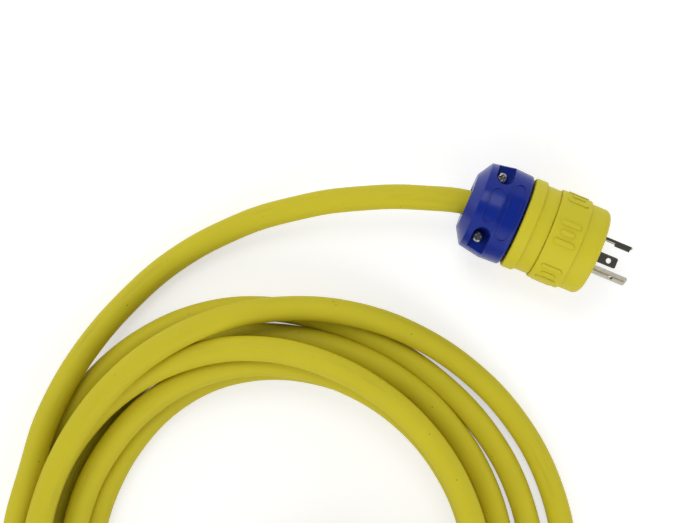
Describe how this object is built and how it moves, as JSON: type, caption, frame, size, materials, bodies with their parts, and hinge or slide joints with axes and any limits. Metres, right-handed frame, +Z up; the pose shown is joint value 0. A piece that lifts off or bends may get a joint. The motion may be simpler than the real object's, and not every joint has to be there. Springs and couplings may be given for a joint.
{
  "type": "shore power cord",
  "caption": "Twist-lock shore power cord: plug with hooked blades and a two-part screwed cord grip, a coiled heavy jacketed cord, and a matching twist-lock connector.",
  "frame": {"origin": "on the surface the cord lies on, below the middle of the plug, measured from the grip's rear face to the longest blade's tip", "axes": "+X along the plug's axis from the cord grip to the blade tips, +Z up from the surface that the plug, the coil and the connector lie on, +Y away from the coil"},
  "size_m": [0.3887, 0.4964, 0.0632],
  "materials": {
    "shell_yellow": "moulded yellow elastomer, satin",
    "jacket_yellow": "extruded yellow cord jacket, satin",
    "grip_blue": "moulded dark blue nylon, fine texture",
    "carrier_black": "moulded black nylon",
    "blade_metal": "nickel-plated brass blades",
    "contact_brass": "spring brass",
    "screw_steel": "zinc-plated steel",
    "brass": "plain brass",
    "ground_green": "green-coloured screw",
    "seal_black": "soft black rubber",
    "copper": "bare stranded copper",
    "wire_black": "insulation",
    "wire_white": "insulation",
    "wire_green": "insulation"
  },
  "bodies": {
    "root": {"plug_shell": "shell_yellow", "plug_carrier": "carrier_black", "plug_ground_blade": "blade_metal", "plug_line_blade": "blade_metal", "plug_neutral_blade": "blade_metal", "plug_ground_screw": "ground_green", "plug_line_screw": "brass", "plug_neutral_screw": "screw_steel", "plug_clamp_plates": "screw_steel", "plug_ground_wire": "wire_green", "plug_line_wire": "wire_black", "plug_neutral_wire": "wire_white", "plug_strands": "copper", "plug_face_screws": "screw_steel", "plug_inserts": "brass", "plug_seal": "seal_black", "plug_cord_end": "jacket_yellow", "plug_grip_upper": "grip_blue", "plug_grip_lower": "grip_blue", "plug_grip_screws": "screw_steel", "plug_grip_nuts": "screw_steel", "conn_shell": "shell_yellow", "conn_carrier": "carrier_black", "conn_core": "carrier_black", "conn_ground_contact": "contact_brass", "conn_line_contact": "contact_brass", "conn_neutral_contact": "contact_brass", "conn_ground_screw": "ground_green", "conn_line_screw": "brass", "conn_neutral_screw": "screw_steel", "conn_clamp_plates": "screw_steel", "conn_ground_wire": "wire_green", "conn_line_wire": "wire_black", "conn_neutral_wire": "wire_white", "conn_strands": "copper", "conn_face_screws": "screw_steel", "conn_inserts": "brass", "conn_seal": "seal_black", "conn_cord_end": "jacket_yellow", "conn_grip_upper": "grip_blue", "conn_grip_lower": "grip_blue", "conn_grip_screws": "screw_steel", "conn_grip_nuts": "screw_steel", "cord_lead": "jacket_yellow", "cord_coil": "jacket_yellow", "cord_tail": "jacket_yellow"}
  },
  "joints": []
}
